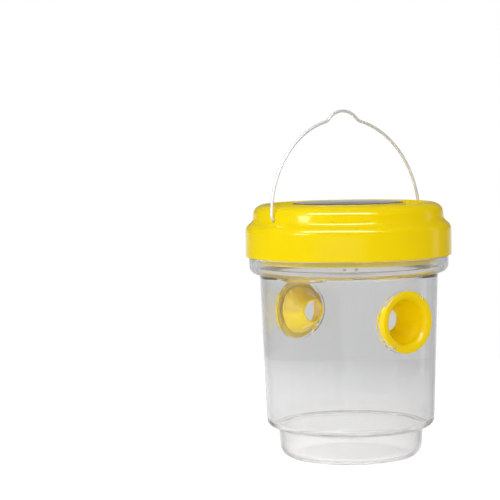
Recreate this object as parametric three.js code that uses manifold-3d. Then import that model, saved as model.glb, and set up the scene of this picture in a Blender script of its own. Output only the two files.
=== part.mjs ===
// A hanging solar wasp trap: a clear jar with two entry funnels, a twist-off lid with a solar light
// module under it, and a wire bail. Millimetres, +Z up, origin at the centre of the foot.
// The funnels face -Y and +Y.
import * as THREE from 'three';
import { mergeVertices } from 'three/addons/utils/BufferGeometryUtils.js';
import Module from 'manifold-3d';

const wasm = await Module();
wasm.setup();

// ---------------------------------------------------------------- driving dimensions

const GAP = 0.3;                 // clearance between pieces that touch
const RING_SEGMENTS = 32;        // facets round the jar and the lid

const WALL = 1.6;                // jar wall
const FOOT_FLAT_R = 36.4;        // flat of the foot that it stands on
const FOOT_R = 43.3;             // foot, above its rounded edge
const FOOT_TOP_R = 44.0;
const FOOT_H = 18.2;             // height of the shoulder over the foot
const WALL_LOW_R = 51.3;         // wall just over the shoulder
const WALL_LOW_Z = 28;
const WALL_HIGH_R = 54.1;        // wall just under the collar
const WALL_HIGH_Z = 110.2;
const COLLAR_R = 60.6;
const COLLAR_TOP_Z = 122.3;
const NECK_R = 57.6;
const RIM_Z = 139.2;
const INDEX_ANGLE = -127;        // degrees, the index lug on the collar

const LUG_COUNT = 4;             // bayonet lugs on the neck, and as many in the lid
const NECK_LUG_R = 59.6;
const NECK_LUG_Z = 130.4;
const NECK_LUG_H = 2.0;
const NECK_LUG_HALF = 20;        // degrees
const LID_LUG_R = 58.5;
const LID_LUG_Z = 127.6;
const LID_LUG_H = 2.2;
const LID_LUG_HALF = 16;         // degrees

const FUNNEL_Z = 85.6;           // height of the funnels' axis
const FUNNEL_HOLE_R = 6.4;       // exit hole
const FUNNEL_TIP_D = 36.7;       // from the jar's axis to the funnel's tip
const FUNNEL_FACE_D = 56.0;      // from the jar's axis to the mouth's face
const FLANGE_R = 18.4;
const SPIGOT_R = 14.7;           // part that passes through the wall
const PAD_R = 18.95;             // raised ring on the wall round each hole
const PAD_D = 54.4;              // radius of the pad's outer face about the jar's axis
const WING_HALF_H = 9.9;
const SLOT_ANGLE = 52;           // degrees, the two mould slots in the flange

const LID_TURN = 3;              // degrees, the lid's rest position on the jar
const LID_R = 62.5;
const LID_BOTTOM_Z = 122.6;
const LID_INNER_R = 60.7;
const LEDGE_Z = 141.3;           // ledge that presses the gasket
const TIER_INNER_R = 55.8;
const PLUG_R = 54.0;             // inner skirt that hangs inside the jar's neck
const PLUG_WALL = 1.6;
const PLUG_BOTTOM_Z = 118.8;
const PLATE_Z = 150.8;           // underside of the lid's top plate
const RECESS_Z = 152.6;          // floor of the solar panel's recess
const RECESS_R = 33.8;
const BOSS_R = 35.0;
const BOSS_TOP_Z = 154.3;
const PANEL_R = 33.4;

const PIVOT_Z = 146.3;           // bail pivots
const WIRE_R = 0.9;
const BAIL_R = 59.2;             // the arch is a circle about the pivot line
const BAIL_TOP = 64.0;           // from the pivot line to the top of the hanging hump
const HUMP_R = 15.5;
const PIN_IN = 53.4;             // inner end of the in-turned pins
const PIN_HOLE_R = 1.4;
const BAIL_LEAN = 3.3;           // degrees, the bail's lean at rest

const HOUSING_R = 44.0;
const HOUSING_WALL = 1.8;
const FLOOR_Z = 131.0;           // underside of the light housing
const FLOOR_TOP_Z = 132.6;
const POST_R = 3.2;
const POST_CIRCLE_R = 37.0;
const POST_ANGLES = [0, 180, 270];
const BOARD_Z = 144.0;           // underside of the circuit board
const BOARD_TOP_Z = 145.6;
const BOARD_HALF_X = 22.0;
const BOARD_Y = [-25.5, -1.0];
const STANDOFF_X = 17.0;
const STANDOFF_Y = -4.0;
const LED_Y = -13.0;
const LED_X = 7.0;
const WINDOW_R = 12.7;
const CELL_R = 5.25;             // AAA cell
const CELL_Y = 20.0;
const CELL_Z = 138.6;
const CELL_X = [-20.5, 24.0];
const BAY_HALF_X = 26.5;         // battery opening in the floor
const BAY_Y = [12.0, 28.0];
const DOOR_SCREW_X = 31.0;
const SWITCH_X = 28.0;
const SWITCH_Y = -20.0;
const SWITCH_TRAVEL = 4.0;
const LEAD_R = 0.6;

// ---------------------------------------------------------------- small tools

const radians = (degrees) => degrees * Math.PI / 180;

// Points of an elliptical arc in the (radius, height) plane, from one angle to another in degrees.
function arc(centreR, centreZ, radiusR, radiusZ, from, to, steps) {
  const points = [];
  for (let i = 0; i <= steps; i += 1) {
    const angle = radians(from + (to - from) * i / steps);
    points.push([centreR + radiusR * Math.cos(angle), centreZ + radiusZ * Math.sin(angle)]);
  }
  return points;
}

// A solid of revolution about Z. The outline runs up its outside; it closes itself off the axis.
function revolve(outline, segments = RING_SEGMENTS) {
  const points = outline.map(([r, z]) => new THREE.Vector2(r, z));
  const first = points[0];
  const last = points[points.length - 1];
  if (first.x > 0 || last.x > 0) points.push(first.clone());
  return new THREE.LatheGeometry(points, segments).rotateX(Math.PI / 2);
}

function disc(radius, low, high, segments = 16) {
  return revolve([[0, low], [radius, low], [radius, high], [0, high]], segments);
}

function ring(inner, outer, low, high, segments = RING_SEGMENTS) {
  return revolve([[inner, low], [outer, low], [outer, high], [inner, high]], segments);
}

function block(x, y, z) {
  const geometry = new THREE.BoxGeometry(x[1] - x[0], y[1] - y[0], z[1] - z[0]);
  return geometry.translate((x[0] + x[1]) / 2, (y[0] + y[1]) / 2, (z[0] + z[1]) / 2);
}

// A piece of a flat ring, centred on an angle in degrees.
function sector(inner, outer, middle, half, low, high) {
  const shape = new THREE.Shape();
  shape.absarc(0, 0, outer, radians(middle - half), radians(middle + half), false);
  shape.absarc(0, 0, inner, radians(middle + half), radians(middle - half), true);
  const geometry = new THREE.ExtrudeGeometry(shape, {
    depth: high - low, bevelEnabled: false, curveSegments: 5,
  });
  return geometry.translate(0, 0, low);
}

// Turns a shape made about +Z so that its axis points along -Y, at the funnels' height.
const towardsFront = (geometry) => geometry.rotateX(Math.PI / 2).translate(0, 0, FUNNEL_Z);

function round(radius, sides) {
  const shape = new THREE.Shape();
  for (let i = 0; i < sides; i += 1) {
    const angle = 2 * Math.PI * i / sides;
    const place = [radius * Math.cos(angle), radius * Math.sin(angle)];
    if (i === 0) shape.moveTo(...place);
    else shape.lineTo(...place);
  }
  shape.closePath();
  return shape;
}

function tube(curve, radius, steps, sides = 6) {
  return new THREE.ExtrudeGeometry(round(radius, sides), { extrudePath: curve, steps });
}

// A curve that is sampled exactly at its listed points, so that its tight bends keep their shape.
class PointCurve extends THREE.Curve {
  constructor(points) {
    super();
    this.points = points;
  }

  getPointAt(u) {
    const place = u * (this.points.length - 1);
    const index = Math.min(Math.floor(place + 1e-6), this.points.length - 2);
    return this.points[index].clone().lerp(this.points[index + 1], place - index);
  }

  getTangentAt(u) {
    const step = 1 / (this.points.length - 1);
    const before = this.getPointAt(Math.max(0, u - step));
    const after = this.getPointAt(Math.min(1, u + step));
    return after.sub(before).normalize();
  }
}

function toSolid(geometry) {
  const bare = geometry.clone();
  bare.deleteAttribute('normal');
  bare.deleteAttribute('uv');
  const merged = mergeVertices(bare);
  const corners = merged.index.array;
  const kept = [];
  for (let i = 0; i < corners.length; i += 3) {
    const [a, b, c] = corners.slice(i, i + 3);
    if (a !== b && b !== c && c !== a) kept.push(a, b, c);
  }
  return new wasm.Manifold(new wasm.Mesh({
    numProp: 3,
    vertProperties: merged.attributes.position.array,
    triVerts: Uint32Array.from(kept),
  }));
}

function toGeometry(solid) {
  const mesh = solid.getMesh();
  const geometry = new THREE.BufferGeometry();
  geometry.setAttribute('position', new THREE.BufferAttribute(Float32Array.from(mesh.vertProperties), 3));
  geometry.setIndex(new THREE.BufferAttribute(Uint32Array.from(mesh.triVerts), 1));
  geometry.computeVertexNormals();
  return geometry;
}

function combine(base, added, removed = []) {
  let solid = toSolid(base);
  for (const extra of added) solid = solid.add(toSolid(extra));
  for (const cutter of removed) solid = solid.subtract(toSolid(cutter));
  return toGeometry(solid);
}

function overlap(first, second) {
  return toGeometry(toSolid(first).intersect(toSolid(second)));
}

function piece(name, geometry, color, roughness, metalness = 0, extra = {}) {
  const material = new THREE.MeshStandardMaterial({ color, roughness, metalness, ...extra });
  const mesh = new THREE.Mesh(geometry, material);
  mesh.name = name;
  return mesh;
}

const YELLOW = 0xf7dc05;
const BLACK = 0x1c1c1e;
const STEEL = 0xb9bcbf;
const CLEAR = { transparent: true, opacity: 0.35 };

// ---------------------------------------------------------------- jar

function jarOutline() {
  return [
    [0, 0],
    ...arc(FOOT_FLAT_R, 8, FOOT_R - FOOT_FLAT_R, 8, -90, 0, 4),
    [FOOT_TOP_R, FOOT_H - 0.8],
    [FOOT_TOP_R + 0.5, FOOT_H],
    ...arc(46.6, 23.5, 4.5, 4.9, -90, 0, 3),
    [WALL_LOW_R, WALL_LOW_Z],
    [WALL_HIGH_R, WALL_HIGH_Z],
    [54.6, 111.6],
    ...arc(56.2, 117.2, COLLAR_R - 56.2, 4.9, -90, 0, 3),
    [COLLAR_R, COLLAR_TOP_Z - 0.5],
    [COLLAR_R - 0.5, COLLAR_TOP_Z],
    [NECK_R, COLLAR_TOP_Z],
    [NECK_R, RIM_Z - 0.5],
    [NECK_R - 0.5, RIM_Z],
    [NECK_R - WALL, RIM_Z],
    [NECK_R - WALL, 115],
    [WALL_HIGH_R - WALL + 0.6, 111.4],
    [WALL_HIGH_R - WALL, WALL_HIGH_Z],
    [WALL_LOW_R - WALL, WALL_LOW_Z],
    ...arc(45.2, 23.9, 4.4, 3.8, 0, -90, 2),
    [FOOT_TOP_R - WALL, FOOT_H + 1],
    ...arc(FOOT_FLAT_R - 0.8, 7.8, FOOT_R - WALL - FOOT_FLAT_R + 0.8, 7.8 - WALL, 0, -90, 3),
    [0, WALL],
  ];
}

function funnelPad() {
  const plug = towardsFront(disc(PAD_R, 45, 60, 28));
  const shell = ring(52.4, PAD_D, FUNNEL_Z - 25, FUNNEL_Z + 25);
  return overlap(plug, shell);
}

function indexLug(offset) {
  const rib = block([COLLAR_R - 1.5, COLLAR_R + 1.0], [-0.9, 0.9], [116.6, COLLAR_TOP_Z - 0.4]);
  return rib.translate(0, offset, 0).rotateZ(radians(INDEX_ANGLE));
}

function neckLugs() {
  const lugs = [];
  for (let i = 0; i < LUG_COUNT; i += 1) {
    const middle = 45 + 360 * i / LUG_COUNT;
    const top = NECK_LUG_Z + NECK_LUG_H;
    lugs.push(sector(NECK_R - 0.6, NECK_LUG_R, middle, NECK_LUG_HALF, NECK_LUG_Z, top));
    lugs.push(sector(NECK_R - 0.6, NECK_LUG_R, middle - NECK_LUG_HALF + 1.5, 1.5, LID_LUG_Z, top));
  }
  return lugs;
}

function jar() {
  const frontPad = funnelPad();
  const backPad = frontPad.clone().rotateZ(Math.PI);
  const bore = disc(SPIGOT_R + GAP, -60, 60, 28).rotateX(Math.PI / 2).translate(0, 0, FUNNEL_Z);
  const added = [frontPad, backPad, indexLug(-3.4), indexLug(3.4), ...neckLugs()];
  return piece('jar', combine(revolve(jarOutline()), added, [bore]), 0xdfe3e6, 0.08, 0, CLEAR);
}

// ---------------------------------------------------------------- funnels

function funnelOutline() {
  const tip = FUNNEL_TIP_D;
  const face = FUNNEL_FACE_D;
  return [
    [FUNNEL_HOLE_R, tip],
    [FUNNEL_HOLE_R + 0.9, tip],
    [FUNNEL_HOLE_R + 1.2, tip + 0.4],
    [13.6, 49.0],
    [SPIGOT_R, 50.4],
    [SPIGOT_R, PAD_D + GAP],
    [FLANGE_R - 0.5, PAD_D + GAP],
    [FLANGE_R, face - 0.8],
    [FLANGE_R - 0.7, face],
    [16.4, face],
    ...arc(16.4, face - 4.4, 3.6, 4.4, 90, 180, 4),
    [FUNNEL_HOLE_R + 0.3, tip + 2.2],
  ];
}

function funnelWings() {
  const skirt = towardsFront(ring(16.4, 18.2, 46, PAD_D + 0.8, 28));
  const band = block([-20, 20], [-60, -40], [FUNNEL_Z - WING_HALF_H, FUNNEL_Z + WING_HALF_H]);
  const wings = toSolid(overlap(skirt, band));
  return toGeometry(wings.subtract(toSolid(disc(PAD_D + GAP, 60, 110, RING_SEGMENTS))));
}

function funnelGeometry() {
  const hooks = [];
  const slots = [];
  for (const angle of [SLOT_ANGLE, SLOT_ANGLE + 180]) {
    const hook = block([12.8, 16.0], [-1.6, 1.6], [47.5, 49.6]);
    const slot = block([16.6, 18.0], [-1.3, 1.3], [52, 58]);
    hooks.push(towardsFront(hook.rotateZ(radians(angle))));
    slots.push(towardsFront(slot.rotateZ(radians(angle))));
  }
  const body = towardsFront(revolve(funnelOutline(), 28));
  return combine(body, [funnelWings(), ...hooks], slots);
}

function funnels() {
  const front = piece('funnel_front', funnelGeometry(), YELLOW, 0.3);
  const back = piece('funnel_back', funnelGeometry(), YELLOW, 0.3);
  back.rotation.z = Math.PI;
  return [front, back];
}

// ---------------------------------------------------------------- lid

function lidOutline() {
  return [
    [LID_R - 0.4, LID_BOTTOM_Z],
    [LID_R, LID_BOTTOM_Z + 0.4],
    ...arc(LID_R - 5.3, 138, 5.3, 5.3, 0, 50, 3),
    ...arc(62.1, 146.3, 4.2, 4.2, 230, 184, 3),
    ...arc(50.1, 149.4, 7.05, 5, 0, 90, 4),
    ...arc(50.1, 152.9, 1.5, 1.5, 120, 180, 2),
    [47.6, 152.5],
    [BOSS_R + 0.6, 152.2],
    [BOSS_R, 152.7],
    [BOSS_R, BOSS_TOP_Z - 0.4],
    [BOSS_R - 0.4, BOSS_TOP_Z],
    [RECESS_R, BOSS_TOP_Z],
    [RECESS_R, RECESS_Z],
    [0, RECESS_Z],
    [0, PLATE_Z],
    [50.4, PLATE_Z],
    [PLUG_R - PLUG_WALL, PLATE_Z - 0.4],
    [PLUG_R - PLUG_WALL, PLUG_BOTTOM_Z + 0.4],
    [PLUG_R - PLUG_WALL + 0.4, PLUG_BOTTOM_Z],
    [PLUG_R - 0.4, PLUG_BOTTOM_Z],
    [PLUG_R, PLUG_BOTTOM_Z + 0.4],
    [PLUG_R, 149.6],
    [54.9, 148.8],
    [55.4, 147.2],
    [TIER_INNER_R, 145],
    [TIER_INNER_R, LEDGE_Z],
    [59.5, LEDGE_Z],
    [LID_INNER_R, LEDGE_Z - 1.2],
    [LID_INNER_R, LID_BOTTOM_Z],
  ];
}

function lidLugs() {
  const lugs = [];
  for (let i = 0; i < LUG_COUNT; i += 1) {
    const middle = 360 * i / LUG_COUNT;
    const top = LID_LUG_Z + LID_LUG_H;
    lugs.push(sector(LID_LUG_R, LID_INNER_R + 0.6, middle, LID_LUG_HALF, LID_LUG_Z, top));
  }
  return lugs;
}

const postPlaces = POST_ANGLES.map((angle) => [
  POST_CIRCLE_R * Math.cos(radians(angle)), POST_CIRCLE_R * Math.sin(radians(angle)),
]);
const standoffPlaces = [[-STANDOFF_X, STANDOFF_Y], [STANDOFF_X, STANDOFF_Y]];

function lidShell() {
  const added = lidLugs();
  const removed = [disc(PIN_HOLE_R, -62, 62, 12).rotateY(Math.PI / 2).translate(0, 0, PIVOT_Z)];
  for (const [x, y] of postPlaces) {
    added.push(disc(POST_R, FLOOR_TOP_Z + GAP, PLATE_Z + 0.5).translate(x, y, 0));
    removed.push(disc(1.5, FLOOR_TOP_Z - 1, 143, 10).translate(x, y, 0));
  }
  for (const [x, y] of standoffPlaces) {
    added.push(disc(2.6, BOARD_TOP_Z + GAP, PLATE_Z + 0.5, 12).translate(x, y, 0));
    removed.push(disc(1.2, BOARD_TOP_Z - 1, 150, 8).translate(x, y, 0));
  }
  removed.push(disc(2.4, PLATE_Z - 1, RECESS_Z + 1, 12).translate(0, 8, 0));
  return piece('lid_shell', combine(revolve(lidOutline()), added, removed), YELLOW, 0.25);
}

function lidGasket() {
  return piece('lid_gasket', ring(55, LID_LUG_R - GAP, RIM_Z + GAP, LEDGE_Z - GAP), 0xe8e8e4, 0.6);
}

function solarPanel() {
  const cells = piece('solar_cell_board', disc(PANEL_R, RECESS_Z + GAP, 153.7, 36), 0x1d2733, 0.35);
  const outline = [[0, 154], [PANEL_R, 154], [PANEL_R, 154.6], [PANEL_R - 0.5, 154.9], [0, 155]];
  const cover = piece('solar_panel_cover', revolve(outline, 36), 0x6f7f8c, 0.08, 0, CLEAR);
  return [cells, cover];
}

// ---------------------------------------------------------------- light housing and its door

function lightHousing() {
  const inner = HOUSING_R - HOUSING_WALL;
  const top = PLATE_Z - GAP;
  const cup = revolve([
    [0, FLOOR_Z], [HOUSING_R - 1.2, FLOOR_Z], [HOUSING_R, FLOOR_Z + 1.2], [HOUSING_R, top],
    [inner, top], [inner, FLOOR_TOP_Z], [0, FLOOR_TOP_Z],
  ]);
  const endWall = [27.7, 29.1];
  const wallZ = [FLOOR_TOP_Z - 0.5, 142];
  const added = [
    block(endWall, [13, 27], wallZ),
    block([-endWall[1], -endWall[0]], [13, 27], wallZ),
    disc(2.4, FLOOR_TOP_Z - 0.5, 138, 12).translate(DOOR_SCREW_X + 0.9, CELL_Y, 0),
  ];
  const removed = [
    disc(WINDOW_R + GAP, FLOOR_Z - 1, FLOOR_TOP_Z + 1, 24).translate(0, LED_Y, 0),
    block([-BAY_HALF_X, BAY_HALF_X], BAY_Y, [FLOOR_Z - 1, FLOOR_TOP_Z + 1]),
    block([-endWall[1] - 1, -BAY_HALF_X + 1], [15.7, 24.3], [FLOOR_TOP_Z, 134.2]),
    block([SWITCH_X - 4.3, SWITCH_X + 4.3], [SWITCH_Y - 1.6, SWITCH_Y + 1.6], [FLOOR_Z - 1, FLOOR_TOP_Z + 1]),
    disc(1.3, FLOOR_Z - 1, 137, 8).translate(DOOR_SCREW_X + 0.9, CELL_Y, 0),
  ];
  for (const [x, y] of postPlaces) {
    removed.push(disc(1.6, FLOOR_Z - 1, FLOOR_TOP_Z + 1, 10).translate(x, y, 0));
  }
  return piece('light_housing', combine(cup, added, removed), YELLOW, 0.3);
}

// A pan-head screw that points up, with its head's top face at the given height.
function screw(name, x, y, headTop, headR, shankR, length) {
  const outline = [
    [0, headTop - 1.4], [headR * 0.7, headTop - 1.4], [headR, headTop - 0.7], [headR, headTop],
    [shankR, headTop], [shankR, headTop + length - shankR], [0, headTop + length],
  ];
  const mesh = piece(name, revolve(outline, 8), STEEL, 0.35, 1);
  mesh.position.set(x, y, 0);
  return mesh;
}

function screws() {
  const housing = postPlaces.map(([x, y], i) => (
    screw(`housing_screw_${i + 1}`, x, y, FLOOR_Z - GAP, 2.8, 1.2, 9)));
  const board = standoffPlaces.map(([x, y], i) => (
    screw(`board_screw_${i + 1}`, x, y, BOARD_Z - GAP, 2.1, 0.9, 5)));
  const door = screw('battery_door_screw', DOOR_SCREW_X + 0.9, CELL_Y, 129.1, 2.4, 1.0, 7);
  return [...housing, ...board, door];
}

function batteryDoor() {
  const plate = block([-29, 35], [9.8, 30.2], [129.4, FLOOR_Z - GAP]);
  const added = [
    block([-26.2, -24.6], [16, 24], [130.4, 133.9]),
    block([-29, -24.6], [16, 24], [FLOOR_TOP_Z + GAP, 133.9]),
  ];
  const corner = ring(HOUSING_R - 1.6, HOUSING_R + 8, 128, 132);
  const hole = disc(1.3, 128, 132, 8).translate(DOOR_SCREW_X + 0.9, CELL_Y, 0);
  return piece('battery_door', combine(plate, added, [corner, hole]), YELLOW, 0.3);
}

// ---------------------------------------------------------------- electrics

function circuitBoard() {
  const board = block([-BOARD_HALF_X, BOARD_HALF_X], BOARD_Y, [BOARD_Z, BOARD_TOP_Z]);
  const holes = standoffPlaces.map(([x, y]) => (
    disc(1.2, BOARD_Z - 1, BOARD_TOP_Z + 1, 8).translate(x, y, 0)));
  return piece('circuit_board', combine(board, [], holes), 0x1f6b3a, 0.5);
}

function led(name, x) {
  const outline = [
    ...arc(0, 137.4, 2.5, 2.5, -90, 0, 3),
    [2.5, 142.7], [2.9, 142.7], [2.9, BOARD_Z - GAP], [0, BOARD_Z - GAP],
  ];
  const mesh = piece(name, revolve(outline, 12), 0xb9a6e6, 0.1, 0, CLEAR);
  mesh.position.set(x, LED_Y, 0);
  return mesh;
}

function ledWindow() {
  const flange = [FLOOR_TOP_Z + GAP, 134.1];
  const mesh = piece('led_window', revolve([
    ...arc(0, 131, WINDOW_R, 1.6, -90, 0, 4),
    [WINDOW_R, flange[0]], [WINDOW_R + 2.2, flange[0]], [WINDOW_R + 2.2, flange[1]], [0, flange[1]],
  ], 24), 0xdfe6ea, 0.1, 0, CLEAR);
  mesh.position.y = LED_Y;
  return mesh;
}

function slideSwitch() {
  const x = [SWITCH_X - 6, SWITCH_X + 6];
  const y = [SWITCH_Y - 3, SWITCH_Y + 3];
  const pocketX = [SWITCH_X - 4.2, SWITCH_X + 4.2];
  const pocketY = [SWITCH_Y - 1.5, SWITCH_Y + 1.5];
  const pocket = block(pocketX, pocketY, [FLOOR_TOP_Z, 135.6]);
  const body = combine(block(x, y, [FLOOR_TOP_Z + GAP, 138]), [], [pocket]);
  const low = pocketX[0] + GAP;
  const width = pocketX[1] - pocketX[0] - SWITCH_TRAVEL - 2 * GAP;
  const knob = block([low, low + width], [SWITCH_Y - 1.2, SWITCH_Y + 1.2], [129.2, 135.2]);
  return [piece('switch_body', body, 0x3a3a3c, 0.5), piece('switch_knob', knob, BLACK, 0.45)];
}

// The cell lies along X between a flat contact and a coil spring.
function battery() {
  const [start, end] = CELL_X;
  const outline = [
    [0, start], [CELL_R - 0.5, start], [CELL_R, start + 0.5], [CELL_R, end - 0.5],
    [CELL_R - 0.5, end], [1.9, end], [1.9, end + 1.1], [0, end + 1.1],
  ];
  const cell = piece('battery', revolve(outline, 20).rotateY(Math.PI / 2), 0x3f7d4e, 0.4);
  cell.position.set(0, CELL_Y, CELL_Z);
  const contact = block([26.9, 27.4], [CELL_Y - 4.5, CELL_Y + 4.5], [134.6, 142]);
  const nose = block([25.6, 27], [CELL_Y - 2, CELL_Y + 2], [CELL_Z - 2, CELL_Z + 2]);
  return [cell, piece('battery_contact', combine(contact, [nose]), STEEL, 0.3, 1), batterySpring()];
}

function batterySpring() {
  const turns = 2.5;
  const stepsPerTurn = 10;
  const points = [];
  for (let i = 0; i <= turns * stepsPerTurn; i += 1) {
    const angle = 2 * Math.PI * i / stepsPerTurn;
    const along = i / (turns * stepsPerTurn);
    const radius = 3.4 - 1.2 * along;
    const x = -26.9 + 5.4 * along;
    points.push(new THREE.Vector3(x, CELL_Y + radius * Math.cos(angle), CELL_Z + radius * Math.sin(angle)));
  }
  const coil = tube(new PointCurve(points), 0.35, points.length - 1, 6);
  const plate = block([-27.4, -26.8], [CELL_Y - 4.5, CELL_Y + 4.5], [134.6, 142]);
  return piece('battery_spring', combine(plate, [coil]), STEEL, 0.3, 1);
}

function lead(name, color, points) {
  const curve = new THREE.CatmullRomCurve3(points.map((place) => new THREE.Vector3(...place)));
  return piece(name, tube(curve, LEAD_R, 10), color, 0.6);
}

function leads() {
  const top = BOARD_TOP_Z + GAP + LEAD_R;
  const pair = (side) => [
    [side, 8, RECESS_Z - 0.1], [side, 7.8, 150], [side, 4, 147.6], [side, 0, top], [side, -3, top],
  ];
  const long = (side) => [
    [27.15 * side, 20, 142.4], [26.8 * side, 17, 146], [22 * side, 6, 148.5],
    [11 * side, 1, 148], [8 * side, -4, top], [8 * side, -8, top],
  ];
  return [
    lead('panel_lead_red', 0xb3221c, pair(-0.9)),
    lead('panel_lead_black', BLACK, pair(0.9)),
    lead('battery_lead_red', 0xb3221c, long(1)),
    lead('battery_lead_black', BLACK, long(-1)),
  ];
}

// ---------------------------------------------------------------- bail

// Half of the wire's centreline, from the pin's inner end to the top, in the bail's own plane.
function halfBail() {
  const humpCentre = BAIL_TOP - HUMP_R;
  const kinkZ = (BAIL_R ** 2 - HUMP_R ** 2 + humpCentre ** 2) / (2 * humpCentre);
  const kinkX = Math.sqrt(BAIL_R ** 2 - kinkZ ** 2);
  const kinkAngle = Math.atan2(kinkZ, kinkX) * 180 / Math.PI;
  const humpAngle = Math.atan2(kinkZ - humpCentre, kinkX) * 180 / Math.PI;
  const bend = 2.2;
  return [
    [PIN_IN, 0],
    ...arc(BAIL_R - bend, bend, bend, bend, -90, 0, 3),
    ...arc(0, 0, BAIL_R, BAIL_R, 6, kinkAngle - 1.6, 11),
    ...arc(0, humpCentre, HUMP_R, HUMP_R, humpAngle + 5, 90, 4),
  ];
}

function bail() {
  const half = halfBail().map(([x, z]) => new THREE.Vector3(x, 0, z));
  const mirrored = half.slice(0, -1).reverse().map((place) => new THREE.Vector3(-place.x, 0, place.z));
  const path = new PointCurve([...half, ...mirrored]);
  const wire = piece('bail', tube(path, WIRE_R, path.points.length - 1, 8), STEEL, 0.25, 1);
  wire.position.z = PIVOT_Z;
  wire.rotation.x = -radians(BAIL_LEAN);
  return wire;
}

// ---------------------------------------------------------------- assembly

const lid = new THREE.Group();
lid.rotation.z = radians(LID_TURN);
lid.add(
  lidGasket(), lidShell(), ...solarPanel(), lightHousing(), batteryDoor(), ...screws(),
  circuitBoard(), led('uv_led_left', -LED_X), led('uv_led_right', LED_X), ledWindow(),
  ...slideSwitch(), ...battery(), ...leads(), bail(),
);

const trap = new THREE.Group();
trap.add(jar(), ...funnels(), lid);

export default trap;
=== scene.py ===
"""The looks of a hanging solar wasp trap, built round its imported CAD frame.

Each CAD node is stood for by a fine mesh of the same outline. Sizes are millimetres until a mesh is made.
"""

import math

import bmesh
import bpy
from mathutils import Matrix, Vector

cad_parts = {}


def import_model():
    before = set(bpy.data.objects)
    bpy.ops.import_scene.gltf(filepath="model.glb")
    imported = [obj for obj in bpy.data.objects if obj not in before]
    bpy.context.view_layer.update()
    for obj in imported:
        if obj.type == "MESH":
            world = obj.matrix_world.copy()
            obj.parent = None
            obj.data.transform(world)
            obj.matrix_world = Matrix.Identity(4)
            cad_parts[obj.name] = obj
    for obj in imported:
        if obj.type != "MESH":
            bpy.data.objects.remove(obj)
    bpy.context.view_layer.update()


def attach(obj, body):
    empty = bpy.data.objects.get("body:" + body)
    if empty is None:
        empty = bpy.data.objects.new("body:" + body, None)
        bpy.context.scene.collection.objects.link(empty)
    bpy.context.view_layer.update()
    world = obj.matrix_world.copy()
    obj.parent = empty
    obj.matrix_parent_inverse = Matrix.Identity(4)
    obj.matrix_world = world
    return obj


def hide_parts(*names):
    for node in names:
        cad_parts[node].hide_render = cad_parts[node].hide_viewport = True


MM = 0.001

# ------------------------------------------------------------ driving dimensions

GAP = 0.3            # room left between neighbouring pieces

# the jar
WALL = 1.6
FOOT_FLAT_R = 36.4
FOOT_R = 43.3
FOOT_TOP_R = 44.0
FOOT_H = 18.2
WALL_LOW_R, WALL_LOW_Z = 51.3, 28.0
WALL_HIGH_R, WALL_HIGH_Z = 54.1, 110.2
COLLAR_R = 60.6
COLLAR_TOP_Z = 122.3
NECK_R = 57.6
RIM_Z = 139.2
INDEX_ANGLE = -127.0

# the lugs that close the lid, with half of each one's width in degrees
LUG_COUNT = 4
NECK_LUG_R = 59.6
NECK_LUG_Z, NECK_LUG_TOP = 130.4, 132.4
NECK_LUG_HALF = 20.0
LID_LUG_R = 58.5
LID_LUG_Z, LID_LUG_TOP = 127.6, 129.8
LID_LUG_HALF = 16.0

# the funnels, with depths counted from the jar's axis
FUNNEL_Z = 85.6
FUNNEL_HOLE_R = 6.4
FUNNEL_TIP_D = 36.7
FUNNEL_FACE_D = 56.0
FLANGE_R = 18.4
SPIGOT_R = 14.7
PAD_R = 18.95
PAD_D = 54.4
WING_INNER_R, WING_OUTER_R, WING_HALF_H = 16.4, 18.2, 9.9
SLOT_ANGLE = 52.0

# the lid
LID_TURN = 3.0       # degrees, its rest position on the jar
LID_R = 62.5
LID_BOTTOM_Z = 122.6
LID_INNER_R = 60.7
LEDGE_Z = 141.3
TIER_INNER_R = 55.8
PLUG_R, PLUG_WALL = 54.0, 1.6
PLUG_BOTTOM_Z = 118.8
PLATE_Z = 150.8
RECESS_R, RECESS_Z = 33.8, 152.6
BOSS_R, BOSS_TOP_Z = 35.0, 154.3
PANEL_R = 33.4
LEAD_HOLE_R, LEAD_HOLE_Y = 2.4, 8.0              # where the panel's leads go down

# the bail
PIVOT_Z = 146.3
WIRE_R = 0.9
BAIL_R = 59.2
BAIL_TOP = 64.0
HUMP_R = 15.5
KINK_R = 6.0
PIN_IN = 53.4
PIN_HOLE_R = 1.4
BAIL_LEAN = 3.3      # degrees, at rest

# the light housing and what it holds
HOUSING_R, HOUSING_WALL = 44.0, 1.8
FLOOR_Z, FLOOR_TOP_Z = 131.0, 132.6
POST_R, POST_BORE_R, POST_CIRCLE_R = 3.2, 1.5, 37.0
POST_ANGLES = (0, 180, 270)
BOARD_Z, BOARD_TOP_Z = 144.0, 145.6
BOARD_HALF_X, BOARD_Y = 22.0, (-25.5, -1.0)
STANDOFF_R, STANDOFF_BORE_R, STANDOFF_X, STANDOFF_Y = 2.6, 1.2, 17.0, -4.0
LED_X, LED_Y = 7.0, -13.0
WINDOW_R = 12.7
CELL_R, CELL_X, CELL_Y, CELL_Z = 5.25, (-20.5, 24.0), 20.0, 138.6
BAY_HALF_X, BAY_Y = 26.5, (12.0, 28.0)           # the battery opening in the housing's floor
BAY_WALL_X = (27.7, 29.1)                        # the walls behind the cell's contacts
DOOR_X, DOOR_Y, DOOR_BOTTOM_Z = (-29.0, 35.0), (9.8, 30.2), 129.4
DOOR_SCREW_X, DOOR_BORE_R = 31.9, 1.3
SWITCH_X, SWITCH_Y = 28.0, -20.0
LEAD_R = 0.6

# the screws: the radius of the head, the radius of the shank and the length
HOUSING_SCREW = (2.8, 1.2, 9)
BOARD_SCREW = (2.1, 0.9, 5)
DOOR_SCREW = (2.4, 1.0, 7)

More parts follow.
